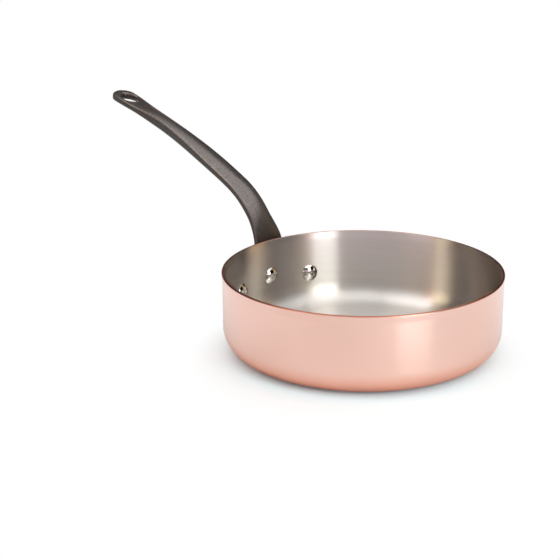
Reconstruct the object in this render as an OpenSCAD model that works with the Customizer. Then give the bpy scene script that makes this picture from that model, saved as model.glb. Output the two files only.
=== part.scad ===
/* [Pan] */
// Diameter across the rim
pan_d = 240; // [160:1:320]
// Height from the resting plane to the rim
pan_h = 70; // [66:1:110]
// Outer radius of the corner between wall and base
corner_r = 22; // [8:0.5:22]
// Thickness of the copper
copper_t = 1.8; // [1:0.1:3]
// Thickness of the stainless steel lining
lining_t = 0.4; // [0.3:0.1:1]
// How far the rim stands out past the wall
flare = 0.5; // [0.1:0.1:1]
// Height of the flared band under the rim
flare_h = 6; // [3:0.5:10]
// Radius of the rounded outer edge of the rim
rim_r = 0.9; // [0.2:0.1:0.9]

/* [Rivets] */
// Angle around the pan between neighbouring rivets
rivet_pitch = 20.4; // [18:0.1:23]
// Height of the two outer rivets
rivet_z = 31.5; // [31:0.5:34]
// How much higher the middle rivet sits
rivet_rise = 4.5; // [0:0.5:6]
// Diameter of the polished heads inside the pan
head_d = 15.6; // [10:0.1:16]
// Height of the polished heads
head_h = 3.4; // [1:0.1:5]
// Diameter of the shanks
shank_d = 8; // [4:0.1:9]
// Diameter of the heads that are hammered over outside
tail_d = 13; // [10:0.1:15]
// Height of the heads that are hammered over outside
tail_h = 2.4; // [1:0.1:4]

/* [Flange] */
// Thickness of the flange on the wall
flange_t = 4; // [3:0.1:5]
// Radius of the lobe around each outer rivet
lobe_r = 10.5; // [9:0.1:10.5]
// Radius of the lobe around the middle rivet
centre_lobe_r = 14; // [11:0.5:15]
// Radius of the hollow corners between neck and lobes
fillet_r = 14; // [4:1:16]

/* [Strap] */
// Height at which the strap starts to lean out
lean_z = 63; // [60:0.5:64]
// Radius of the first bend, by the rim
lean_r = 33; // [25:1:40]
// Heading after the first bend, in degrees above level
lean_angle = 64; // [58:0.5:68]
// Radius of the main bend
bend_r = 89; // [70:1:110]
// Heading after the main bend
bend_angle = 25; // [20:0.5:30]
// Radius of the long sweep of the grip
sweep_r = 715; // [500:5:1000]
// Heading of the outer end
end_angle = 13.9; // [12:0.1:17]
// Length of the straight outer end
end_len = 54.7; // [42:0.1:75]
// Width where the strap leaves the wall
root_w = 32.4; // [26:0.5:36]
// Width in the main bend
bend_w = 23.6; // [18:0.2:26]
// Width of the grip
grip_w = 22.6; // [17:0.2:25]
// Width of the narrow neck before the eye
neck_w = 15.8; // [13:0.2:18]
// Width across the eye
eye_w = 24; // [21:0.2:26]
// Edge thickness at the root
root_t = 3.6; // [3:0.1:5]
// Edge thickness in the main bend
bend_t = 5.4; // [4:0.1:8]
// Edge thickness where the grip begins
grip_t = 6; // [5:0.1:9]
// Edge thickness at the neck
neck_t = 8.4; // [5:0.1:9]
// Edge thickness at the eye
eye_t = 5.8; // [4:0.1:7]
// How far back from the straight end the neck is narrowest
neck_back = 21; // [10:1:40]

/* [Hanging eye] */
// Length of the eye along the strap
hole_l = 21; // [17:0.5:26]
// Width of the eye
hole_w = 15.6; // [10:0.2:16]
// Radius of the eye's ends
hole_end_r = 3.2; // [2:0.1:4]
// Solid strap between the eye and the tip
hole_margin = 10.2; // [8:0.1:13]

/* [Hidden] */

// Every cut runs this far past the surface it opens.
over = 1;
round_fn = 96;
blend_fn = 32;

wall_r = pan_d / 2 - flare;
bore_wall_t = copper_t + lining_t;
// The rivet bores are cut this far past the wall and the flange, clear of both curves.
bore_over = head_h + tail_h;
inner_r = wall_r - bore_wall_t;
shank_r = shank_d / 2;
flange_r = wall_r + flange_t;

// Lengths along the strap, measured from where it starts to lean out.
lean_l = arc_length(lean_r, 90, lean_angle);
bend_l = arc_length(bend_r, lean_angle, bend_angle);
sweep_l = arc_length(sweep_r, bend_angle, end_angle);
bend_start = lean_l;
sweep_start = bend_start + bend_l;
end_start = sweep_start + sweep_l;
strap_l = end_start + end_len;

// The tip is half of an ellipse, a little shorter than it is wide.
tip_share = 0.865;
tip_l = eye_w / 2 * tip_share;

// The strap starts inside the flange, this far under the point where it leans out, and thickens out of it.
root_overlap = 16;
buried_share = 0.5;

// The crowned top face slopes down to its edges by this angle from the main bend to the neck, by less at the eye.
crown_angle = 24;
eye_crown_angle = 9;

// Radius of the strap's top edges: small at the root, larger to the neck, smaller again round the eye.
root_shoulder = 1;
grip_shoulder = 1.8;
eye_shoulder = 1.5;
shoulder_edge_share = 0.4;

// How far the top edges lie under the strap's own line: in the main bend, where the grip begins, round the eye.
bend_drop = 1.1;
grip_drop = 1.1;
eye_drop = 0.45;

// Radius of the strap's lower edges, less where the strap is narrow or thin.
edge_round = 2;
round_width_share = 0.25;
round_edge_share = 0.5;

// Where the width and the thickness are given, and what they are there.
narrow_share = 0.35;
palm_share = 0.15;
narrow_l = bend_start + narrow_share * bend_l;
palm_l = sweep_start + palm_share * sweep_l;
neck_l = end_start - neck_back;
eye_l = strap_l - tip_l;
width_stations = [
    [0, root_w],
    [narrow_l, bend_w],
    [palm_l, grip_w],
    [neck_l, neck_w],
    [eye_l - edge_round, eye_w]
];
edge_stations = [
    [-root_overlap, root_t * buried_share],
    [0, root_t],
    [bend_start + bend_l / 2, bend_t],
    [sweep_start, grip_t],
    [neck_l, neck_t],
    [eye_l - hole_l, eye_t]
];
slope_stations = [
    [0, 0],
    [narrow_l, crown_angle],
    [neck_l, crown_angle],
    [eye_l - hole_l, eye_crown_angle]
];
shoulder_stations = [
    [0, root_shoulder],
    [narrow_l, grip_shoulder],
    [neck_l, grip_shoulder],
    [eye_l - hole_l, eye_shoulder]
];
drop_stations = [
    [0, 0],
    [narrow_l, bend_drop],
    [palm_l, grip_drop],
    [neck_l, 0],
    [eye_l - hole_l, eye_drop]
];

function arc_length(r, from, to) = r * PI * (from - to) / 180;

// A point [out, up] on an arc of radius r that starts at a point with one heading and has turned to another.
function arc_point(start, r, from, heading) =
    start + r * [sin(from) - sin(heading), cos(heading) - cos(from)];

lean_start_pt = [wall_r, lean_z];
bend_start_pt = arc_point(lean_start_pt, lean_r, 90, lean_angle);
sweep_start_pt = arc_point(bend_start_pt, bend_r, lean_angle, bend_angle);
end_start_pt = arc_point(sweep_start_pt, sweep_r, bend_angle, end_angle);
tip_pt = end_start_pt + end_len * [cos(end_angle), sin(end_angle)];

// Heading of the strap at length l.
function heading(l) =
    l < 0 ? 90
    : l < bend_start ? 90 - l / lean_r * 180 / PI
    : l < sweep_start ? lean_angle - (l - bend_start) / bend_r * 180 / PI
    : l < end_start ? bend_angle - (l - sweep_start) / sweep_r * 180 / PI
    : end_angle;

// The strap's own line at length l, as [out, up].
function strap_point(l) =
    l < 0 ? lean_start_pt + [0, l]
    : l < bend_start ? arc_point(lean_start_pt, lean_r, 90, heading(l))
    : l < sweep_start ? arc_point(bend_start_pt, bend_r, lean_angle, heading(l))
    : l < end_start ? arc_point(sweep_start_pt, sweep_r, bend_angle, heading(l))
    : end_start_pt + (l - end_start) * [cos(end_angle), sin(end_angle)];

// An S-shaped step from 0 to 1.
function ease(t) = let (u = min(max(t, 0), 1)) u * u * (3 - 2 * u);

// Value at length l between stations [length, value], with an S-shaped step from each to the next.
function between(stations, l, i = 0) =
    i > len(stations) - 2 ? stations[i][1]
    : l > stations[i + 1][0] ? between(stations, l, i + 1)
    : let (a = stations[i], b = stations[i + 1])
        a[1] + (b[1] - a[1]) * ease((l - a[0]) / (b[0] - a[0]));

function strap_width(l) =
    l < eye_l ? between(width_stations, l)
    : eye_w * sqrt(max(1 - pow((l - eye_l) / tip_l, 2), 0));

// Section of the strap at length l, as [across, above the line]: a crowned top, flat sides and rounded edges.
// The slope is the top face's own where it meets the rounding of its edges.
crown_steps = 8;
shoulder_steps = 3;
round_steps = 3;
function strap_section(l) =
    let (
        half = strap_width(l) / 2,
        t = between(edge_stations, l),
        slope = between(slope_stations, l),
        drop = between(drop_stations, l),
        widest = 2 * half * round_width_share,
        s = min(between(shoulder_stations, l), widest, t * shoulder_edge_share),
        r = min(edge_round, widest, t * round_edge_share),
        reach = half - s + s * sin(slope),
        top = (half - reach) * tan(slope) - drop,
        crown = reach * tan(slope) / 2,
        centre = top - s * cos(slope),
        open = 90 - slope
    )
    concat(
        [for (i = [0:crown_steps]) let (q = 2 * i / crown_steps - 1) [q * reach, top + crown * (1 - q * q)]],
        [for (i = [1:shoulder_steps]) let (a = open - open * i / shoulder_steps)
            [half - s + s * cos(a), centre + s * sin(a)]],
        [for (i = [0:round_steps]) let (a = 90 * i / round_steps)
            [half - r + r * cos(a), r - drop - t - r * sin(a)]],
        [for (i = [0:round_steps]) let (a = 90 * i / round_steps)
            [r - half - r * sin(a), r - drop - t - r * cos(a)]],
        [for (i = [0:shoulder_steps - 1]) let (a = open * i / shoulder_steps)
            [s - half - s * cos(a), centre + s * sin(a)]]
    );

// A section placed on the strap, which runs along -X in the plane y = 0.
function placed(l) =
    let (p = strap_point(l), h = heading(l))
    [for (q = strap_section(l)) [-p[0] + q[1] * sin(h), q[0], p[1] + q[1] * cos(h)]];

// Lengths at which the sections stand: close in the bends, far apart on the grip, closer again round the tip.
lean_steps = 5;
bend_steps = 14;
sweep_steps = 16;
end_steps = 10;
tip_steps = 8;
last_share = 0.97;
buried_steps = 4;
lengths = concat(
    [for (i = [0:buried_steps - 1]) root_overlap * (i / buried_steps - 1)],
    [for (i = [0:lean_steps - 1]) lean_l * i / lean_steps],
    [for (i = [0:bend_steps - 1]) bend_start + bend_l * i / bend_steps],
    [for (i = [0:sweep_steps - 1]) sweep_start + sweep_l * i / sweep_steps],
    [for (i = [0:end_steps - 1]) end_start + (eye_l - end_start) * i / end_steps],
    [for (i = [0:tip_steps]) eye_l + tip_l * sin(90 * last_share * i / tip_steps)]
);

// Half of the vessel's outer shape in section: all that lies inside a skin set in from the outside by inset.
module half_vessel(inset) {
    wall = wall_r - inset;
    corner = corner_r - inset;
    union() {
        translate([0, inset]) square([wall - corner, pan_h - inset + (inset > 0 ? over : 0)]);
        translate([0, corner_r]) square([wall, pan_h - corner_r + (inset > 0 ? over : 0)]);
        translate([wall - corner, corner_r]) circle(corner, $fn = round_fn);
        polygon([
            [wall - corner, pan_h - flare_h],
            [wall, pan_h - flare_h],
            [wall + flare, pan_h],
            [wall + flare, pan_h + (inset > 0 ? over : 0)],
            [wall - corner, pan_h + (inset > 0 ? over : 0)]
        ]);
    }
}

// What is left of a square outside a quarter circle, to round an outer edge.
module edge_cutter(r) {
    difference() {
        square(r + over);
        circle(r, $fn = blend_fn);
    }
}

// Turns X to point outwards through a rivet at its height: side is -1, 0 or 1.
module at_rivet(side) {
    rotate([0, 0, 180 - side * rivet_pitch])
        translate([0, 0, rivet_z + (side == 0 ? rivet_rise : 0)])
            children();
}

// A round bar along a rivet's own line, from one distance from the pan's axis to another.
module radial_bar(from, to, r) {
    translate([from, 0, 0])
        rotate([0, 90, 0])
            cylinder(h = to - from, r = r, $fn = round_fn);
}

module rivet_bores() {
    for (side = [-1:1])
        at_rivet(side)
            radial_bar(inner_r - bore_over, flange_r + bore_over, shank_r);
}

module copper_body() {
    color("#E3A690")
        difference() {
            rotate_extrude($fn = round_fn)
                difference() {
                    half_vessel(0);
                    half_vessel(copper_t);
                    translate([pan_d / 2 - rim_r, pan_h - rim_r]) edge_cutter(rim_r);
                }
            rivet_bores();
        }
}

module steel_lining() {
    color("#C9C4B8")
        difference() {
            rotate_extrude($fn = round_fn)
                intersection() {
                    difference() {
                        half_vessel(copper_t);
                        half_vessel(bore_wall_t);
                    }
                    square([pan_d, pan_h]);
                }
            rivet_bores();
        }
}

// Outline of the flange as seen along the strap: a lobe round each rivet, and hollow corners up to the strap.
module flange_outline() {
    lobe_y = wall_r * sin(rivet_pitch);
    centre_z = rivet_z + rivet_rise;
    offset(r = -fillet_r, $fn = blend_fn)
        offset(r = fillet_r, $fn = blend_fn)
            union() {
                for (side = [-1, 1])
                    hull() {
                        translate([side * lobe_y, rivet_z]) circle(lobe_r, $fn = blend_fn);
                        translate([0, centre_z]) circle(lobe_r, $fn = blend_fn);
                    }
                translate([0, centre_z - centre_lobe_r + lobe_r]) circle(centre_lobe_r, $fn = blend_fn);
                translate([-root_w / 2, centre_z]) square([root_w, lean_z - centre_z]);
            }
}

// The plate that lies on the wall, bent to its curve.
module flange() {
    intersection() {
        rotate_extrude($fn = round_fn)
            translate([inner_r, 0]) square([flange_r - inner_r, pan_h]);
        rotate([90, 0, -90])
            linear_extrude(height = pan_d)
                mirror([1, 0]) flange_outline();
    }
}

// The cast strap, swept along its own line from section to section.
module strap() {
    rings = [for (l = lengths) placed(l)];
    n = len(rings[0]);
    last = len(rings) - 1;
    polyhedron(
        points = [for (ring = rings) for (p = ring) p],
        faces = concat(
            [for (j = [1:n - 2]) [n - 1, j - 1, j]],
            [for (i = [0:last - 1]) for (j = [0:n - 1]) let (k = (j + 1) % n)
                each [
                    [i * n + j, (i + 1) * n + j, (i + 1) * n + k],
                    [i * n + j, (i + 1) * n + k, i * n + k]
                ]],
            [for (j = [1:n - 2]) [last * n + n - 1, last * n + j, last * n + j - 1]]
        ),
        convexity = 4
    );
}

// A long oval of four arcs: two round ends and two flat sides that run into them.
module eye_outline() {
    reach = hole_l / 2 - hole_end_r;
    half_w = hole_w / 2;
    side_r = (reach * reach + half_w * half_w - hole_end_r * hole_end_r) / (2 * (half_w - hole_end_r));
    meet = reach * side_r / (side_r - hole_end_r);
    union() {
        intersection() {
            translate([0, side_r - half_w]) circle(side_r, $fn = round_fn);
            translate([0, half_w - side_r]) circle(side_r, $fn = round_fn);
            square([2 * meet, hole_w], center = true);
        }
        for (side = [-1, 1])
            translate([side * reach, 0]) circle(hole_end_r, $fn = round_fn);
    }
}

module eye_cut() {
    back = hole_margin + hole_l / 2;
    depth = eye_t + eye_drop + eye_w * tan(crown_angle) / 2 + 2 * over;
    translate([-tip_pt[0], 0, tip_pt[1]])
        rotate([0, end_angle, 0])
            translate([back, 0, -eye_drop - eye_t - over])
                linear_extrude(height = depth) eye_outline();
}

// The pan's outer shape as one solid, which leaves the flange its seat on the wall.
module vessel_solid() {
    rotate_extrude($fn = round_fn) half_vessel(0);
}

module handle() {
    color("#4A423D")
        difference() {
            union() {
                flange();
                strap();
            }
            vessel_solid();
            rivet_bores();
            eye_cut();
        }
}

// Radius of the ball of which a dome with this foot and height is a part.
function ball_radius(foot_d, h) = (foot_d * foot_d / 4 + h * h) / (2 * h);

// One rivet: a domed head on the lining, a shank through wall and flange, and a low head outside.
module rivet(side) {
    head_ball_r = ball_radius(head_d, head_h);
    tail_ball_r = ball_radius(tail_d, tail_h);
    color("#D8D5CC")
        union() {
            intersection() {
                at_rivet(side)
                    translate([inner_r - head_h + head_ball_r, 0, 0]) sphere(head_ball_r, $fn = round_fn);
                cylinder(h = pan_h, r = inner_r, $fn = round_fn);
            }
            difference() {
                at_rivet(side)
                    translate([flange_r + tail_h - tail_ball_r, 0, 0]) sphere(tail_ball_r, $fn = round_fn);
                cylinder(h = pan_h, r = flange_r, $fn = round_fn);
            }
            at_rivet(side)
                radial_bar(inner_r - head_h / 2, flange_r + tail_h / 2, shank_r);
        }
}

module rivet_left() {
    rivet(-1);
}

module rivet_centre() {
    rivet(0);
}

module rivet_right() {
    rivet(1);
}

copper_body();
steel_lining();
handle();
rivet_left();
rivet_centre();
rivet_right();
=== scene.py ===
import math

import bmesh
import bpy
from mathutils import Matrix, Vector


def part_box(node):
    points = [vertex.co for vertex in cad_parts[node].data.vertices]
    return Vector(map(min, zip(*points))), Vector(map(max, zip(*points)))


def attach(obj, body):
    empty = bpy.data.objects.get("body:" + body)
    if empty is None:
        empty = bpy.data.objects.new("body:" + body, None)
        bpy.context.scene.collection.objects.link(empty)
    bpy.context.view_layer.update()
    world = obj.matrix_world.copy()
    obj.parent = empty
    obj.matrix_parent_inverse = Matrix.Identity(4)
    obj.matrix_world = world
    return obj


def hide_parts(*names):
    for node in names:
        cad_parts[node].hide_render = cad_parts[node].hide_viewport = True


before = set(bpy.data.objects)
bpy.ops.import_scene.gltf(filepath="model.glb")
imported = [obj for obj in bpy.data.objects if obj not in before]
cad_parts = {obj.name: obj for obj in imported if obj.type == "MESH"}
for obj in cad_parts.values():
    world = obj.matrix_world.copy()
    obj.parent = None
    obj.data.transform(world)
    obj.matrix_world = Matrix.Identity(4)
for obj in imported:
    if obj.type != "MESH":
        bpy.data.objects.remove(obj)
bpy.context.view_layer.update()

mm = 0.001

# Copper body
# The outer shell is spun from one sheet of copper: flat base, round corner, straight wall and a rim that is
# drawn out a little. Its edge is buffed round, and fine turning marks run round the wall under the polish.
pan_r = 120 * mm
pan_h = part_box("copper_body")[1][2]
copper_t = 1.8 * mm
corner_r = 22 * mm
flare = 0.5 * mm
flare_h = 7 * mm
lip_r = 0.9 * mm
inner_drop = 0.1 * mm
wall_r = pan_r - flare
flare_z = pan_h - flare_h
lip_z = pan_h - lip_r

base_shares = (0, 0.3, 0.6)
wall_shares = (0.25, 0.5, 0.75)
corner_steps = 28
flare_steps = 10
lip_steps = 14
turning_steps = 320
crease_angle = 40
merge_distance = 0.001 * mm

copper_colour = (0.79, 0.535, 0.465, 1)
copper_deep_colour = (0.775, 0.52, 0.445, 1)
# Painted shade: the top of the rim is painted dark copper red, a painted dark reflection of the room behind
# that also hides the glint on the round edge.
rim_painted_shade_colour = (0.50, 0.20, 0.13, 1)
rim_shade_start_share = 0.3
rim_shade_end_share = 0.7
copper_grain_h = 0.015 * mm
copper_roughness = 0.188
rim_shade_roughness = 0.3
grain_roughness = 0.04
brush_turn = 0.25


def arc(centre_r, centre_z, radius_r, radius_z, start, end, steps):
    """Points (r, z) along an arc of a circle or an upright ellipse, angles in degrees."""
    points = []
    for i in range(steps + 1):
        a = math.radians(start + (end - start) * i / steps)
        points.append((centre_r + radius_r * math.cos(a), centre_z + radius_z * math.sin(a)))
    return points


def rise(start, end, steps):
    """Points between start and end that leave both ends upright, as a drawn-out rim does."""
    points = []
    for i in range(steps + 1):
        t = i / steps
        ease = t * t * (3 - 2 * t)
        points.append((start[0] + (end[0] - start[0]) * ease, start[1] + (end[1] - start[1]) * t))
    return points


def vessel_line(inset, top_r, top_z):
    """The skin that lies in from the outer surface by inset, from the axis out and up to (top_r, top_z)."""
    wall = wall_r - inset
    corner = corner_r - inset
    line = [(wall * share, inset) for share in base_shares]
    line += arc(wall - corner, corner_r, corner, corner, -90, 0, corner_steps)
    line += [(wall, corner_r + (flare_z - corner_r) * share) for share in wall_shares]
    line += rise((wall, flare_z), (top_r, top_z), flare_steps)
    return line


class Tree:
    """A node tree under construction. node() makes one node and hands back one of its outputs as a Link."""

    def __init__(self, tree):
        self.tree = tree

    def node(self, kind, settings=None, values=None, output=0):
        made = self.tree.nodes.new(kind)
        for name, value in (settings or {}).items():
            if name == "stops":
                set_stops(made.color_ramp, value)
            else:
                setattr(made, name, value)
        for name, value in (values or {}).items():
            if isinstance(value, Link):
                self.tree.links.new(value.socket, made.inputs[name])
            else:
                made.inputs[name].default_value = value
        return Link(self, made.outputs[output]) if made.outputs else made


def set_stops(ramp, stops):
    """Gives a colour ramp its stops, each a position and a colour."""
    while len(ramp.elements) > 1:
        ramp.elements.remove(ramp.elements[-1])
    for i, (position, colour) in enumerate(stops):
        stop = ramp.elements[0] if i == 0 else ramp.elements.new(position)
        stop.position = position
        stop.color = colour


class Link:
    """An output socket on which numbers can be worked out with the usual operators."""

    def __init__(self, tree, socket):
        self.tree = tree
        self.socket = socket

    def math(self, operation, a, b=0.0, c=0.0):
        return self.tree.node("ShaderNodeMath", {"operation": operation}, {0: a, 1: b, 2: c})

    def __add__(self, other):
        return self.math("ADD", self, other)

    def __radd__(self, other):
        return self.math("ADD", other, self)

    def __sub__(self, other):
        return self.math("SUBTRACT", self, other)

    def __rsub__(self, other):
        return self.math("SUBTRACT", other, self)

    def __mul__(self, other):
        return self.math("MULTIPLY", self, other)

    def __rmul__(self, other):
        return self.math("MULTIPLY", other, self)

    def smoothstep(self, low, high):
        """0 below low, 1 above high, with a soft step between."""
        return self.tree.node("ShaderNodeMapRange", {"interpolation_type": "SMOOTHSTEP"},
                              {"Value": self, "From Min": low, "From Max": high})


def new_material(name):
    """An empty material and its Tree."""
    material = bpy.data.materials.new(name)
    material.use_nodes = True
    material.node_tree.nodes.clear()
    return material, Tree(material.node_tree)


def mix_colour(tree, factor, a, b):
    """Colour a where factor is 0, b where it is 1."""
    return tree.node("ShaderNodeMix", {"data_type": "RGBA"}, {"Factor": factor, 6: a, 7: b}, output=2)


def part_of(tree, vector, axis):
    """One of a vector's three numbers, named X, Y or Z."""
    return tree.node("ShaderNodeSeparateXYZ", values={"Vector": vector}, output=axis)


def noise(tree, place, scale, detail, rough=0.5):
    """Grey noise in all directions, the finer the higher its scale."""
    return tree.node("ShaderNodeTexNoise",
                     values={"Vector": place, "Scale": scale, "Detail": detail, "Roughness": rough})


def turned_grain(tree, fine_scale, round_scale):
    """Grey noise drawn out round the pan's axis, as a tool leaves it on a turning piece."""
    place = tree.node("ShaderNodeTexCoord", output="Object")
    flat = tree.node("ShaderNodeVectorMath", {"operation": "MULTIPLY"}, {0: place, 1: (1, 1, 0)})
    radius = tree.node("ShaderNodeVectorMath", {"operation": "LENGTH"}, {0: flat}, output="Value")
    height = part_of(tree, place, "Z")
    direction = tree.node("ShaderNodeVectorMath", {"operation": "NORMALIZE"}, {0: flat})
    spread = tree.node("ShaderNodeVectorMath", {"operation": "SCALE"}, {0: direction, "Scale": round_scale})
    across = tree.node("ShaderNodeCombineXYZ", values={"X": radius * fine_scale, "Y": height * fine_scale})
    where = tree.node("ShaderNodeVectorMath", {"operation": "ADD"}, {0: spread, 1: across})
    return noise(tree, where, scale=1.0, detail=3.0, rough=0.6)


def copper_finish():
    material, tree = new_material("satin_copper")
    grain = turned_grain(tree, fine_scale=1400, round_scale=1.5)
    place = tree.node("ShaderNodeTexCoord", output="Object")
    cloud = noise(tree, place, scale=14.0, detail=2.0)
    colour = mix_colour(tree, cloud.smoothstep(0.35, 0.7), copper_colour, copper_deep_colour)
    height = part_of(tree, place, "Z")
    # Painted shade: a dark band over the rim's round edge, starting a little below it, stands in for its dark
    # reflection.
    rim_painted_shade = height.smoothstep(lip_z - lip_r * rim_shade_start_share, lip_z + lip_r * rim_shade_end_share)
    colour = mix_colour(tree, rim_painted_shade, colour, rim_painted_shade_colour)
    bump = tree.node("ShaderNodeBump", values={"Strength": 1.0, "Distance": copper_grain_h, "Height": grain})
    surface = tree.node("ShaderNodeBsdfPrincipled", values={
        "Base Color": colour,
        "Metallic": 1.0,
        "Roughness": copper_roughness + grain * grain_roughness + rim_painted_shade * rim_shade_roughness,
        "Anisotropic": 0.8,
        "Anisotropic Rotation": brush_turn,
        "Normal": bump,
    })
    tree.node("ShaderNodeOutputMaterial", values={"Surface": surface})
    return material


def socket_of(tree, name, kind):
    """A new input of a geometry nodes tree."""
    return tree.interface.new_socket(name=name, in_out="INPUT", socket_type=kind)


def spinning_tree():
    """Geometry nodes that turn a line of points (r, 0, z) about Z into a skin.

    The line must start and end on the axis, so that the skin closes at both poles.
    """
    group = bpy.data.node_groups.new("spinning", "GeometryNodeTree")
    socket_of(group, "Line", "NodeSocketGeometry")
    socket_of(group, "Steps", "NodeSocketInt")
    socket_of(group, "Finish", "NodeSocketMaterial")
    group.interface.new_socket(name="Geometry", in_out="OUTPUT", socket_type="NodeSocketGeometry")
    tree = Tree(group)
    line = tree.node("NodeGroupInput", output="Line")
    steps = tree.node("NodeGroupInput", output="Steps")
    finish = tree.node("NodeGroupInput", output="Finish")
    count = tree.node("GeometryNodeAttributeDomainSize", {"component": "MESH"}, {"Geometry": line},
                      output="Point Count")
    grid = tree.node("GeometryNodeMeshGrid", values={"Vertices X": steps + 1, "Vertices Y": count},
                     output="Mesh")
    index = tree.node("GeometryNodeInputIndex")
    along = index.math("MODULO", index, count)
    turn = index.math("FLOOR", index.math("DIVIDE", index, count))
    angle = index.math("DIVIDE", turn * (2 * math.pi), steps)
    position = tree.node("GeometryNodeInputPosition")
    point = tree.node("GeometryNodeSampleIndex", {"data_type": "FLOAT_VECTOR", "domain": "POINT"},
                      {"Geometry": line, "Value": position, "Index": along})
    turned = tree.node("ShaderNodeVectorRotate", {"rotation_type": "Z_AXIS"},
                       {"Vector": point, "Angle": angle})
    placed = tree.node("GeometryNodeSetPosition", values={"Geometry": grid, "Position": turned})
    merged = tree.node("GeometryNodeMergeByDistance", values={"Geometry": placed, "Distance": merge_distance})
    smooth = tree.node("GeometryNodeSetShadeSmooth", values={"Geometry": merged, "Shade Smooth": True})
    real = tree.node("GeometryNodeRealizeInstances", values={"Geometry": smooth})
    dressed = tree.node("GeometryNodeSetMaterial", values={"Geometry": real, "Material": finish})
    tree.node("NodeGroupOutput", values={"Geometry": dressed})
    return group


def mesh_piece(name, points, edges=(), faces=()):
    """A new object from plain lists, linked to the scene."""
    mesh = bpy.data.meshes.new(name)
    mesh.from_pydata(points, edges, faces)
    piece = bpy.data.objects.new(name, mesh)
    bpy.context.scene.collection.objects.link(piece)
    return piece


def plain_mesh(piece, material, sharp_angle):
    """Turns a piece with live modifiers into its own finished mesh, outward, smooth and with one material."""
    depsgraph = bpy.context.evaluated_depsgraph_get()
    finished = bpy.data.meshes.new_from_object(piece.evaluated_get(depsgraph))
    piece.modifiers.clear()
    piece.data = finished
    work = bmesh.new()
    work.from_mesh(finished)
    if work.calc_volume(signed=True) < 0:
        bmesh.ops.reverse_faces(work, faces=work.faces)
    work.to_mesh(finished)
    work.free()
    finished.shade_smooth()
    finished.set_sharp_from_angle(angle=math.radians(sharp_angle))
    finished.materials.clear()
    finished.materials.append(material)
    return piece


def run_tree(piece, group, inputs):
    """Adds a geometry nodes modifier and sets its inputs by their identifiers."""
    modifier = piece.modifiers.new(group.name, "NODES")
    modifier.node_group = group
    for item in group.interface.items_tree:
        if item.in_out == "INPUT" and item.name in inputs:
            modifier[item.identifier] = inputs[item.name]


spinning = spinning_tree()


def spun_piece(name, line, steps, material):
    """A closed skin turned from a line of (r, z) points."""
    points = [(r, 0, z) for r, z in line]
    edges = [(i, i + 1) for i in range(len(points) - 1)]
    piece = mesh_piece(name, points, edges)
    run_tree(piece, spinning, {"Steps": steps, "Finish": material})
    return plain_mesh(piece, material, crease_angle)


def copper_line():
    """Outer skin, round edge and inner skin of the copper, from the axis out, up and back to the axis."""
    edge = arc(pan_r - lip_r, lip_z, lip_r, lip_r, 0, 90, lip_steps)
    inner = vessel_line(copper_t, pan_r - copper_t, pan_h - inner_drop)
    return vessel_line(0, pan_r, lip_z)[:-1] + edge + inner[::-1]


copper_material = copper_finish()
copper = spun_piece("copper_body_shell", copper_line(), turning_steps, copper_material)
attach(copper, "root")
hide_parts("copper_body")

# Steel lining
# A thin stainless skin is bonded to the copper all over the inside and ends level with the rim.
# It is brushed while the pan turns, so light smears across the brush lines: up the wall, out along the base.
lining_t = 0.4 * mm
lining_drop = 0.2 * mm
lining_inset = copper_t + lining_t
lining_edge_steps = 6
lining_colour = (0.67, 0.64, 0.61, 1)
lining_dark_colour = (0.65, 0.61, 0.575, 1)
lining_grain_h = 0.003 * mm
lining_roughness = 0.30


def lining_finish():
    material, tree = new_material("brushed_lining")
    grain = turned_grain(tree, fine_scale=2600, round_scale=2.5)
    broad = turned_grain(tree, fine_scale=350, round_scale=0.8)
    colour = mix_colour(tree, broad.smoothstep(0.3, 0.75), lining_colour, lining_dark_colour)
    bump = tree.node("ShaderNodeBump", values={"Strength": 1.0, "Distance": lining_grain_h, "Height": grain})
    surface = tree.node("ShaderNodeBsdfPrincipled", values={
        "Base Color": colour,
        "Metallic": 1.0,
        "Roughness": lining_roughness + grain * grain_roughness,
        "Anisotropic": 1.0,
        "Anisotropic Rotation": brush_turn,
        "Normal": bump,
    })
    tree.node("ShaderNodeOutputMaterial", values={"Surface": surface})
    return material


def lining_line():
    """Back of the lining from the axis out and up, its top edge, and its front back down to the axis."""
    top_z = pan_h - lining_drop
    back = vessel_line(copper_t, pan_r - copper_t, top_z)
    edge = arc(pan_r - copper_t - lining_t / 2, top_z, lining_t / 2, lining_t / 4, 0, 180, lining_edge_steps)
    front = vessel_line(lining_inset, pan_r - lining_inset, top_z)
    return back[:-1] + edge + front[:-1][::-1]


lining_material = lining_finish()
lining = spun_piece("steel_lining_skin", lining_line(), turning_steps, lining_material)
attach(lining, "root")
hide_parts("steel_lining")

# Handle
# One iron casting: a flange that lies on the wall and a long strap that leans out, bends over and ends in an
# oval eye. The sand leaves a fine grain all over it, and the mould and fettling round its edges a little.

# The strap's own line: three arcs and a straight end, with headings in degrees above level.
lean_z = 63 * mm
lean_r = 33 * mm
bend_r = 89 * mm
sweep_r = 715 * mm
end_len = 54.7 * mm
lean_angle = 64
bend_angle = 25
end_angle = 13.9
root_overlap = 16 * mm
neck_back = 21 * mm

# Widths, and edge thicknesses, from the root through bend, grip and neck to the eye.
root_w = 32.4 * mm
bend_w = 23.6 * mm
grip_w = 22.6 * mm
neck_w = 15.8 * mm
eye_w = 24 * mm
root_t = 3.6 * mm
bend_t = 5.4 * mm
grip_t = 6 * mm
neck_t = 8.4 * mm
eye_t = 5.8 * mm
buried_share = 0.5
bend_share = 0.35
grip_share = 0.15
tip_share = 0.865
tip_l = eye_w / 2 * tip_share

# Slope of the crowned top at its edges in degrees, rounding of the edges, and their depth under the line.
crown_slope = 24
eye_slope = 9
root_shoulder = 1 * mm
grip_shoulder = 1.8 * mm
eye_shoulder = 1.5 * mm
shoulder_edge_share = 0.4
edge_round = 2 * mm
bend_drop = 1.1 * mm
grip_drop = 1.1 * mm
eye_drop = 0.45 * mm

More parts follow.
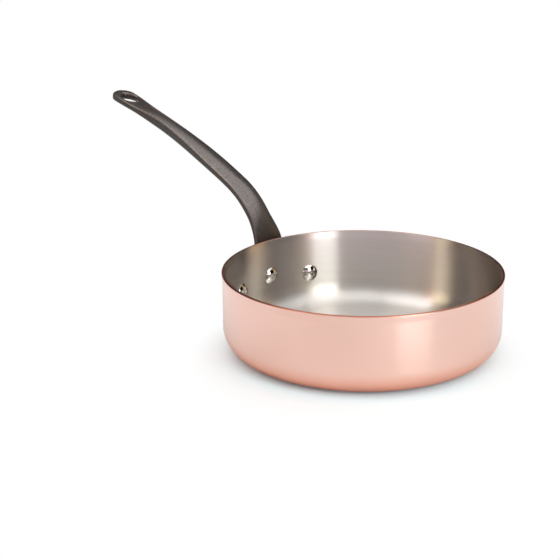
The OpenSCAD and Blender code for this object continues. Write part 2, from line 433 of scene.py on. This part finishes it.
# The eye, which widens towards both faces.
hole_l = 21 * mm
hole_w = 15.6 * mm
hole_end_r = 3.2 * mm
hole_margin = 10.2 * mm
side_widening = 3.2 * mm
end_widening = 5 * mm
plug_over = 2 * mm
plug_levels = 6
plug_steps = 12

# Steps of the mesh, and the casting's skin.
section_step = 1.5 * mm
crown_steps = 8
shoulder_steps = 5
tip_steps = 16
tip_turn = 88.5
flange_cut_z = lean_z - 4 * mm
cast_voxel = 0.5 * mm
cast_softness = 0.5
cast_softening = 3
cast_crease_angle = 80

# Iron is brown where oil has stayed. Where it faces up, most of all above the root, it is painted lighter and
# more metallic: partly wear, partly a painted highlight of the lit top face.
iron_colour = (0.016, 0.013, 0.012, 1)
iron_brown = (0.028, 0.018, 0.013, 1)
wear_and_highlight_colour = (0.18, 0.16, 0.15, 1)
wear_and_highlight_from_z = 82 * mm
wear_and_highlight_to_z = 105 * mm
root_wear_and_highlight = 0.3
smooth_wear_and_highlight = 0.6
wear_and_highlight_metal = 0.75
cast_grain_h = 0.3 * mm
iron_roughness = 0.20
iron_grain_roughness = 0.12


def arc_end(start, radius, heading, turned):
    """End [out, up] of an arc that starts at one heading and has turned down to another, in degrees."""
    a = math.radians(heading)
    b = math.radians(turned)
    out = start[0] + radius * (math.sin(a) - math.sin(b))
    up = start[1] + radius * (math.cos(b) - math.cos(a))
    return out, up


strap_arcs = []
strap_from = (wall_r, lean_z)
strap_l = 0
for arc_r, arc_from, arc_to in ((lean_r, 90, lean_angle), (bend_r, lean_angle, bend_angle),
                                (sweep_r, bend_angle, end_angle)):
    arc_l = arc_r * math.radians(arc_from - arc_to)
    strap_arcs.append((strap_l, strap_l + arc_l, strap_from, arc_r, arc_from))
    strap_from = arc_end(strap_from, arc_r, arc_from, arc_to)
    strap_l += arc_l
end_start = strap_l
strap_l += end_len
bend_start, sweep_start = strap_arcs[1][0], strap_arcs[2][0]
neck_l = end_start - neck_back
eye_l = strap_l - tip_l


def strap_point(length):
    """Middle of the strap's top edges at this length, as (out, up, heading in degrees)."""
    if length < 0:
        return wall_r, lean_z + length, 90
    for start, end, origin, radius, heading in strap_arcs:
        if length <= end:
            turned = heading - math.degrees((length - start) / radius)
            return (*arc_end(origin, radius, heading, turned), turned)
    a = math.radians(end_angle)
    beyond = length - end_start
    return strap_from[0] + beyond * math.cos(a), strap_from[1] + beyond * math.sin(a), end_angle


def between(stations, length):
    """Value at this length between stations (length, value), with a soft step from each to the next."""
    for (a, value_a), (b, value_b) in zip(stations, stations[1:]):
        if length <= b:
            t = min(max((length - a) / (b - a), 0), 1)
            return value_a + (value_b - value_a) * t * t * (3 - 2 * t)
    return stations[-1][1]


bend_l = bend_start + bend_share * (sweep_start - bend_start)
grip_l = sweep_start + grip_share * (end_start - sweep_start)
ring_l = eye_l - hole_l
ring_end_l = eye_l - edge_round
strap_widths = [(0, root_w), (bend_l, bend_w), (grip_l, grip_w), (neck_l, neck_w), (ring_end_l, eye_w)]
strap_edges = [
    (-root_overlap, root_t * buried_share),
    (0, root_t),
    ((bend_start + sweep_start) / 2, bend_t),
    (sweep_start, grip_t),
    (neck_l, neck_t),
    (ring_l, eye_t),
]
strap_slopes = [(0, 0), (bend_l, crown_slope), (neck_l, crown_slope), (ring_l, eye_slope)]
strap_shoulders = [
    (0, root_shoulder),
    (bend_l, grip_shoulder),
    (neck_l, grip_shoulder),
    (ring_l, eye_shoulder),
]
strap_drops = [(0, 0), (bend_l, bend_drop), (grip_l, grip_drop), (neck_l, 0), (ring_l, eye_drop)]


def strap_section(length):
    """Section at this length as points (across, above the line): crowned top, flat sides, rounded edges."""
    half = between(strap_widths, length) / 2
    if length > eye_l:
        half = eye_w / 2 * math.sqrt(max(1 - ((length - eye_l) / tip_l) ** 2, 0))
    thick = between(strap_edges, length)
    slope = between(strap_slopes, length)
    a = math.radians(slope)
    upper = min(between(strap_shoulders, length), half / 2, thick * shoulder_edge_share)
    lower = min(edge_round, half / 2, thick / 2)
    reach = half - upper + upper * math.sin(a)
    crown = reach * math.tan(a) / 2
    drop = between(strap_drops, length)
    lift = (half - reach) * math.tan(a) - drop
    shares = [i / crown_steps - 1 for i in range(2 * crown_steps + 1)]
    top = [(q * reach, lift + crown * (1 - q * q)) for q in shares]
    side = arc(half - upper, lift - upper * math.cos(a), upper, upper, 90 - slope, 0, shoulder_steps)[1:]
    side += arc(half - lower, lower - drop - thick, lower, lower, 0, -90, shoulder_steps)
    return top + side + [(-across, above) for across, above in reversed(side)]


def strap_mesh():
    """The strap as one closed tube of sections, close enough together for its bends to be round."""
    lengths = [-root_overlap + i * section_step for i in range(int((eye_l + root_overlap) / section_step))]
    turns = [math.radians(tip_turn * i / tip_steps) for i in range(tip_steps + 1)]
    lengths += [eye_l + tip_l * math.sin(turn) for turn in turns]
    points = []
    faces = []
    for length in lengths:
        out, up, heading = strap_point(length)
        a = math.radians(heading)
        for across, above in strap_section(length):
            points.append((-out + above * math.sin(a), across, up + above * math.cos(a)))
    count = len(strap_section(0))
    for i in range(len(lengths) - 1):
        for j in range(count):
            k = (j + 1) % count
            faces.append((i * count + j, (i + 1) * count + j, (i + 1) * count + k, i * count + k))
    last = (len(lengths) - 1) * count
    faces.append(tuple(range(count)))
    faces.append(tuple(last + j for j in reversed(range(count))))
    return mesh_piece("strap_blank", points, faces=faces)


def oval(length, width, end_r, steps):
    """Outline of a long oval of four arcs, as (along, across)."""
    reach = length / 2 - end_r
    half = width / 2
    side_r = (reach ** 2 + half ** 2 - end_r ** 2) / (2 * (half - end_r))
    meet = math.degrees(math.atan2(side_r - half, reach))
    outline = []
    for turn in (0, 180):
        c, s = math.cos(math.radians(turn)), math.sin(math.radians(turn))
        part = arc(reach, 0, end_r, end_r, -meet, meet, steps)
        part += arc(0, half - side_r, side_r, side_r, meet, 180 - meet, steps)[1:-1]
        outline += [(x * c - y * s, x * s + y * c) for x, y in part]
    return outline


def eye_cutter():
    """A plug for the eye that widens towards both faces, so that the ring round the eye is rounded inside."""
    half = eye_t / 2
    points = []
    levels = [i / plug_levels - 1 for i in range(2 * plug_levels + 1)]
    out, up, heading = strap_point(strap_l - hole_margin - hole_l / 2)
    a = math.radians(heading)
    for level in levels:
        grow = 1 - math.sqrt(max(1 - level * level, 0))
        ring = oval(hole_l + 2 * grow * end_widening, hole_w + 2 * grow * side_widening,
                    hole_end_r + grow * side_widening, plug_steps)
        above = -eye_drop - half + level * (half + plug_over)
        for along, across in ring:
            points.append((-out - along * math.cos(a) + above * math.sin(a), across,
                           up + along * math.sin(a) + above * math.cos(a)))
    count = len(ring)
    faces = []
    for i in range(len(levels) - 1):
        for j in range(count):
            k = (j + 1) % count
            faces.append((i * count + j, i * count + k, (i + 1) * count + k, (i + 1) * count + j))
    last = (len(levels) - 1) * count
    faces.append(tuple(reversed(range(count))))
    faces.append(tuple(last + j for j in range(count)))
    return mesh_piece("eye_plug", points, faces=faces)


def outward(piece):
    """Recalculates a closed blank's normals outward."""
    work = bmesh.new()
    work.from_mesh(piece.data)
    bmesh.ops.recalc_face_normals(work, faces=work.faces)
    work.to_mesh(piece.data)
    work.free()
    return piece


def flange_mesh():
    """The flange up to just under the rim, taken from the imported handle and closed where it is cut."""
    work = bmesh.new()
    work.from_mesh(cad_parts["handle"].data)
    bmesh.ops.remove_doubles(work, verts=work.verts, dist=merge_distance)
    cut = bmesh.ops.bisect_plane(work, geom=work.verts[:] + work.edges[:] + work.faces[:],
                                 plane_co=(0, 0, flange_cut_z), plane_no=(0, 0, 1), clear_outer=True)
    edges = [item for item in cut["geom_cut"] if isinstance(item, bmesh.types.BMEdge)]
    bmesh.ops.holes_fill(work, edges=edges)
    mesh = bpy.data.meshes.new("flange_blank")
    work.to_mesh(mesh)
    work.free()
    return mesh


def iron_finish():
    material, tree = new_material("cast_iron")
    place = tree.node("ShaderNodeTexCoord", output="Object")
    grain = noise(tree, place, scale=650.0, detail=3.0, rough=0.6)
    pits = noise(tree, place, scale=300.0, detail=3.0, rough=0.6)
    cloud = noise(tree, place, scale=60.0, detail=4.0, rough=0.6)
    speckle = grain * 0.6 + pits * 0.4
    upward = part_of(tree, tree.node("ShaderNodeNewGeometry", output="Normal"), "Z")
    height = part_of(tree, place, "Z")
    # Painted highlight, partly wear: faces that point up, most of all above the root, are mixed towards a
    # light colour and made more metallic.
    wear_and_highlight_by_height = height.smoothstep(wear_and_highlight_from_z, wear_and_highlight_to_z) * (1 - root_wear_and_highlight) + root_wear_and_highlight
    peaks = speckle.smoothstep(0.3, 0.6) * (1 - smooth_wear_and_highlight) + smooth_wear_and_highlight
    wear_and_highlight = upward.smoothstep(0.05, 0.5) * wear_and_highlight_by_height * peaks
    oiled = mix_colour(tree, cloud.smoothstep(0.4, 0.65), iron_colour, iron_brown)
    colour = mix_colour(tree, wear_and_highlight, oiled, wear_and_highlight_colour)
    bump = tree.node("ShaderNodeBump", values={"Strength": 0.45, "Distance": cast_grain_h, "Height": speckle})
    surface = tree.node("ShaderNodeBsdfPrincipled", values={
        "Base Color": colour,
        "Metallic": wear_and_highlight * wear_and_highlight_metal,
        "Roughness": iron_roughness + speckle * iron_grain_roughness,
        "Specular IOR Level": 0.35,
        "Normal": bump,
    })
    tree.node("ShaderNodeOutputMaterial", values={"Surface": surface})
    return material


def cast_handle(material):
    """Joins flange and strap and rounds them into one casting."""
    strap = outward(strap_mesh())
    plug = outward(eye_cutter())
    cut = strap.modifiers.new("eye", "BOOLEAN")
    cut.operation = "DIFFERENCE"
    cut.solver = "EXACT"
    cut.object = plug
    depsgraph = bpy.context.evaluated_depsgraph_get()
    work = bmesh.new()
    work.from_mesh(strap.evaluated_get(depsgraph).data)
    work.from_mesh(flange_mesh())
    joined = bpy.data.meshes.new("handle_blank")
    work.to_mesh(joined)
    work.free()
    for blank in (strap, plug):
        bpy.data.objects.remove(blank)
    casting = bpy.data.objects.new("handle_casting", joined)
    bpy.context.scene.collection.objects.link(casting)
    remesh = casting.modifiers.new("one_skin", "REMESH")
    remesh.mode = "VOXEL"
    remesh.voxel_size = cast_voxel
    smooth = casting.modifiers.new("rounded_edges", "SMOOTH")
    smooth.factor = cast_softness
    smooth.iterations = cast_softening
    return plain_mesh(casting, material, cast_crease_angle)


iron_material = iron_finish()
handle = cast_handle(iron_material)
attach(handle, "root")
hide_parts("handle")

# Rivets
# Three steel rivets hold the flange. Each has a polished dome on the lining and is hammered over outside.
# One rivet is turned from its profile, and a small tree sets the three round the pan, the middle one higher.
# The pitch is in degrees round the pan.
rivet_pitch = 20.4
rivet_z = 31.5 * mm
rivet_rise = 4.5 * mm
head_r = 7.8 * mm
head_h = 3.4 * mm
head_rim = 0.35 * mm
shank_r = 4 * mm
tail_r = 6.5 * mm
tail_h = 2.4 * mm
flange_t = 4 * mm
rivet_sink = 0.35 * mm
head_steps = 20
tail_steps = 14
rivet_steps = 64
steel_colour = (0.80, 0.78, 0.73, 1)
smudge_h = 0.2 * mm
rivet_roughness = 0.05
smudge_roughness = 0.08


def rivet_finish():
    material, tree = new_material("polished_rivet")
    place = tree.node("ShaderNodeTexCoord", output="Object")
    smudge = noise(tree, place, scale=400.0, detail=3.0)
    colour = mix_colour(tree, smudge.smoothstep(0.4, 0.8), steel_colour, lining_colour)
    bump = tree.node("ShaderNodeBump", values={"Strength": 0.05, "Distance": smudge_h, "Height": smudge})
    surface = tree.node("ShaderNodeBsdfPrincipled", values={
        "Base Color": colour,
        "Metallic": 1.0,
        "Roughness": rivet_roughness + smudge * smudge_roughness,
        "Normal": bump,
    })
    tree.node("ShaderNodeOutputMaterial", values={"Surface": surface})
    return material


def dome(radius, height, steps):
    """Half of a low dome from its pole down to its foot, as (r, height above the foot)."""
    ball = (radius ** 2 + height ** 2) / (2 * height)
    lean = math.asin(radius / ball)
    return [(ball * math.sin(lean * i / steps), ball * math.cos(lean * i / steps) - ball + height)
            for i in range(steps + 1)]


def rivet_line():
    """Profile along the rivet's own axis, from the head's pole inside the pan to the tail's pole outside."""
    inner_r = wall_r - lining_inset
    outer_r = wall_r + flange_t
    under_head = inner_r + rivet_sink
    under_tail = outer_r - rivet_sink
    low_share = (head_h - head_rim) / head_h
    head = [(r, inner_r - head_rim - z * low_share) for r, z in dome(head_r, head_h, head_steps)]
    shank = [(head_r, under_head), (shank_r, under_head), (shank_r, under_tail), (tail_r, under_tail)]
    tail = [(r, outer_r + z) for r, z in dome(tail_r, tail_h, tail_steps)]
    return head + shank + tail[::-1]


def rivet_tree():
    """Geometry nodes that stand three copies of one upright rivet round the pan."""
    group = bpy.data.node_groups.new("rivet_row", "GeometryNodeTree")
    socket_of(group, "Rivet", "NodeSocketGeometry")
    socket_of(group, "Pitch", "NodeSocketFloat")
    socket_of(group, "Height", "NodeSocketFloat")
    socket_of(group, "Rise", "NodeSocketFloat")
    socket_of(group, "Finish", "NodeSocketMaterial")
    group.interface.new_socket(name="Geometry", in_out="OUTPUT", socket_type="NodeSocketGeometry")
    tree = Tree(group)
    rivet = tree.node("NodeGroupInput", output="Rivet")
    pitch = tree.node("NodeGroupInput", output="Pitch")
    height = tree.node("NodeGroupInput", output="Height")
    lift = tree.node("NodeGroupInput", output="Rise")
    finish = tree.node("NodeGroupInput", output="Finish")
    row = tree.node("GeometryNodeMeshLine", values={"Count": 3, "Offset": (0, 0, 0)})
    side = tree.node("GeometryNodeInputIndex") - 1
    level = height + lift * (1 - side.math("ABSOLUTE", side))
    place = tree.node("ShaderNodeCombineXYZ", values={"Z": level})
    raised = tree.node("GeometryNodeSetPosition", values={"Geometry": row, "Position": place})
    turn = tree.node("ShaderNodeCombineXYZ", values={"Y": math.pi / 2, "Z": math.pi - side * pitch})
    standing = tree.node("GeometryNodeInstanceOnPoints",
                         values={"Points": raised, "Instance": rivet, "Rotation": turn})
    real = tree.node("GeometryNodeRealizeInstances", values={"Geometry": standing})
    dressed = tree.node("GeometryNodeSetMaterial", values={"Geometry": real, "Material": finish})
    tree.node("NodeGroupOutput", values={"Geometry": dressed})
    return group


rivet_material = rivet_finish()
rivets = spun_piece("rivets", rivet_line(), rivet_steps, rivet_material)
run_tree(rivets, rivet_tree(), {"Pitch": math.radians(rivet_pitch), "Height": rivet_z, "Rise": rivet_rise,
                                "Finish": rivet_material})
plain_mesh(rivets, rivet_material, crease_angle)
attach(rivets, "root")
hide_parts("rivet_left", "rivet_centre", "rivet_right")

# Floor
# A plain white sweep on which the pan stands. It takes the pan's soft shadow and looks white beyond it.
# Close to the pan it looks neutral to the camera, as in the photograph, and warm where the copper mirrors it.
# Distances are in metres from the pan's axis. The shadow reaches farther to the camera's side and to the left.
camera_turn = -45.4
floor_r = 6.0
floor_z = -0.02 * mm
floor_step = 5
floor_colour = (0.87, 0.87, 0.87, 1)
paper_share = 0.02
# Painted shade near the pan: the camera sees the shadow tinted cool, taking out the copper's warm bounce, and
# lifted by a faint painted glow.
shadow_tint = (0.71, 0.89, 0.94, 1)
shadow_fill = (0.0, 0.045, 0.065, 1)
tint_from = 0.10
tint_to = 0.15
front_from = 0.03
front_to = 0.09
back_tint_share = 0.5
seen_from = 0.088
seen_to = 0.147
front_reach = 0.163
side_reach = 0.02
# Painted shade and bounce: what the copper mirrors of the floor near the pan is painted darker and warm.
mirrored_tint = (0.90, 0.70, 0.60, 1)
mirrored_white = 1.12
mirrored_from = 0.45
mirrored_to = 1.1
sides_from = 0.12
sides_to = 0.26


def distance_along(tree, place, axis):
    """How far this place lies along an axis through the origin."""
    return tree.node("ShaderNodeVectorMath", {"operation": "DOT_PRODUCT"}, {0: place, 1: axis},
                     output="Value")


def floor_finish():
    material, tree = new_material("white_sweep")
    place = tree.node("ShaderNodeTexCoord", output="Object")
    away = tree.node("ShaderNodeVectorMath", {"operation": "LENGTH"}, {0: place}, output="Value")
    turn = math.radians(camera_turn)
    right = distance_along(tree, place, (-math.sin(turn), math.cos(turn), 0))
    front = distance_along(tree, place, (math.cos(turn), math.sin(turn), 0))
    seen = tree.node("ShaderNodeLightPath", output="Is Camera Ray")
    mirrored = tree.node("ShaderNodeLightPath", output="Is Glossy Ray")
    paper = noise(tree, place, scale=30.0, detail=2.0)
    colour = mix_colour(tree, paper * paper_share, floor_colour, (1, 1, 1, 1))
    # Painted shade near the pan: cool tint and painted glow for the camera, darker warm colour for the
    # copper's reflections.
    near = 1 - away.smoothstep(tint_from, tint_to)
    before = front.smoothstep(front_from, front_to) * (1 - back_tint_share) + back_tint_share
    cooled = near * seen * before
    colour = mix_colour(tree, cooled, colour, shadow_tint)
    colour = mix_colour(tree, near * mirrored, colour, mirrored_tint)
    matt = tree.node("ShaderNodeBsdfDiffuse", values={"Color": colour})
    fill = tree.node("ShaderNodeEmission", values={"Color": shadow_fill, "Strength": cooled})
    filled = tree.node("ShaderNodeAddShader", values={0: matt, 1: fill})
    white = tree.node("ShaderNodeEmission", values={"Strength": seen + mirrored * mirrored_white})
    far = away.smoothstep(mirrored_from, mirrored_to)
    beyond = far.math("MAXIMUM", far, right.math("ABSOLUTE", right).smoothstep(sides_from, sides_to))
    spread = away - front * front_reach + right * side_reach
    plain = spread.smoothstep(seen_from, seen_to) * seen + beyond * mirrored
    surface = tree.node("ShaderNodeMixShader", values={0: plain, 1: filled, 2: white})
    tree.node("ShaderNodeOutputMaterial", values={"Surface": surface})
    return material


floor_turns = [math.radians(a) for a in range(0, 360, floor_step)]
floor_points = [(floor_r * math.cos(a), floor_r * math.sin(a), floor_z) for a in floor_turns]
floor = mesh_piece("floor", floor_points, faces=[tuple(range(len(floor_points)))])
floor.data.materials.append(floor_finish())

# Studio
# The light comes from a room given by direction: one broad soft box overhead, and pale, warm and dark screens
# round the horizon. A tall soft box to the right of the camera draws the bright band down the wall.
# Azimuths are in degrees from the camera's side, to the right of it positive.
dark = (0.01, 0.008, 0.006, 1)
sky_colour = (0.07, 0.075, 0.09, 1)

# Screens from the table's height up to low_top: where each starts and ends round the room, and its light.
low_screens = (
    (-180, -151, (0.68, 0.45, 0.43, 1)),
    (-149, -109, dark),
    (-107, -89, (0.45, 0.2, 0.04, 1)),
    (-87, -77, dark),
    (-75, -67, (0.5, 0.2, 0.08, 1)),
    (-65, -62, dark),
    (-60, -41, (2.0, 1.6, 1.85, 1)),
    (-39, 19, (1.5, 1.17, 1.38, 1)),
    (21, 49, (1.6, 0.75, 1.03, 1)),
    (51, 93, dark),
    (95, 111, (1.3, 0.62, 0.02, 1)),
    (113, 180, dark),
)
low_top = 14
low_soft = 4

# Screens above them, up to high_top.
high_screens = (
    (-180, -86, dark),
    (-84, -70, (2.6, 2.1, 1.4, 1)),
    (-66, -62, (1.2, 0.4, 0.1, 1)),
    (-60, -41, (0.4, 0.2, 0.05, 1)),
    (-39, 22, (0.2, 0.17, 0.17, 1)),
    (25, 49, (2.2, 1.95, 1.5, 1)),
    (51, 91, dark),
    (95, 111, (0.5, 0.35, 0.14, 1)),
    (115, 180, dark),
)
high_top = 42
high_soft = 6

# The box overhead, in a plan where 1 is 45 degrees from straight up. A row says where a part of it starts and
# ends towards the camera, where it starts and ends to the right, and its light. The parts add up where they
# overlap, and the back edge of the whole runs slantwise.
overhead_panels = (
    (-0.9, 1.0, -1.2, 1.06, 1.5),
    (-0.6, 0.3, -1.2, -0.2, 1.1),
    (0.3, 1.0, -0.2, 1.06, 0.45),
)
back_edge = -0.8
panel_soft = 0.04
least_height = 0.05

# The tall box: its middle as (towards the camera, to the right, up), its size and its light.
strip_middle = (0.40, 0.30, 0.19)
strip_w = 0.21
strip_h = 0.38
strip_strength = 3.95
strip_colour = (0.82, 0.98, 1.03)


def screen_ring(tree, azimuth, screens):
    """Light of a ring of screens at this azimuth, which runs evenly from one to the next between them."""
    stops = []
    for start, end, colour in screens:
        stops += [((start + 180) / 360, colour), ((end + 180) / 360, colour)]
    return tree.node("ShaderNodeValToRGB", {"stops": stops}, {"Fac": (azimuth + 180) * (1 / 360)})


def below(height, top, soft):
    """1 below the elevation top, 0 above it, with a step this many degrees wide between."""
    low, high = (math.sin(math.radians(edge)) for edge in (top - soft / 2, top + soft / 2))
    return 1 - height.smoothstep(low, high)


def inside(place, start, end):
    """1 between start and end on the overhead plan, 0 beyond, with a soft step at each."""
    half = panel_soft / 2
    return place.smoothstep(start - half, start + half) * (1 - place.smoothstep(end - half, end + half))


def studio_light():
    """The room as a world: the camera sees it white, and everything else sees screens and box."""
    world = bpy.data.worlds.new("studio")
    world.use_nodes = True
    world.node_tree.nodes.clear()
    tree = Tree(world.node_tree)
    direction = tree.node("ShaderNodeTexCoord", output="Generated")
    turned = tree.node("ShaderNodeVectorRotate", {"rotation_type": "Z_AXIS"},
                       {"Vector": direction, "Angle": -math.radians(camera_turn)})
    near = part_of(tree, turned, "X")
    side = part_of(tree, turned, "Y")
    height = part_of(tree, turned, "Z")
    azimuth = near.math("ARCTAN2", side, near) * (180 / math.pi)
    low = screen_ring(tree, azimuth, low_screens)
    high = screen_ring(tree, azimuth, high_screens)
    ring = mix_colour(tree, below(height, low_top, low_soft), high, low)
    room = mix_colour(tree, below(height, high_top, high_soft), sky_colour, ring)
    up = height.math("MAXIMUM", height, least_height)
    across = side.math("DIVIDE", side, up)
    along = near.math("DIVIDE", near, up)
    box = 0
    for near_from, near_to, side_from, side_to, strength in overhead_panels:
        box = strength * inside(along, near_from, near_to) * inside(across, side_from, side_to) + box
    box = box * (along + across).smoothstep(back_edge - panel_soft / 2, back_edge + panel_soft / 2)
    grey = tree.node("ShaderNodeCombineColor", values={"Red": box, "Green": box, "Blue": box})
    light = tree.node("ShaderNodeMix", {"data_type": "RGBA", "blend_type": "LIGHTEN"},
                      {"Factor": 1.0, 6: room, 7: grey}, output=2)
    lit = tree.node("ShaderNodeBackground", values={"Color": light, "Strength": 1.0})
    white = tree.node("ShaderNodeBackground", values={"Color": (1, 1, 1, 1), "Strength": 1.0})
    seen = tree.node("ShaderNodeLightPath", output="Is Camera Ray")
    surface = tree.node("ShaderNodeMixShader", values={0: seen, 1: lit, 2: white})
    tree.node("ShaderNodeOutputWorld", values={"Surface": surface})
    bpy.context.scene.world = world


studio_light()


def soft_box(name, middle, width, height, strength, colour):
    """An even lamp that faces the pan: its middle is given as (towards the camera, to the right, up)."""
    data = bpy.data.lights.new(name, "AREA")
    data.shape = "RECTANGLE"
    data.size = width
    data.size_y = height
    data.energy = strength * math.pi * width * height
    data.color = colour
    lamp = bpy.data.objects.new(name, data)
    bpy.context.scene.collection.objects.link(lamp)
    place = Matrix.Rotation(math.radians(camera_turn), 3, "Z") @ Vector(middle)
    facing = (-Vector((place.x, place.y, 0))).to_track_quat("-Z", "Y")
    lamp.matrix_world = Matrix.Translation(place) @ facing.to_matrix().to_4x4()


soft_box("strip_box", strip_middle, strip_w, strip_h, strip_strength, strip_colour)

# Camera
# It stands before the pan on the photograph's side, a little above it, and looks slightly towards the handle.
camera_place = (0.7665, -0.7773, 0.4192)
camera_aim = (-0.0539, -0.0461, 0.0575)
camera_roll = -0.41
camera_lens = 86.39
sensor_w = 36
nearest = 0.01
farthest = 50


def place_camera():
    data = bpy.data.cameras.new("camera")
    data.lens = camera_lens
    data.sensor_width = sensor_w
    data.clip_start = nearest
    data.clip_end = farthest
    camera = bpy.data.objects.new("camera", data)
    bpy.context.scene.collection.objects.link(camera)
    facing = (Vector(camera_aim) - Vector(camera_place)).to_track_quat("-Z", "Y")
    roll = Matrix.Rotation(math.radians(camera_roll), 4, "Z")
    camera.matrix_world = Matrix.Translation(camera_place) @ facing.to_matrix().to_4x4() @ roll
    bpy.context.scene.camera = camera


place_camera()
bpy.context.scene.view_settings.view_transform = "Standard"
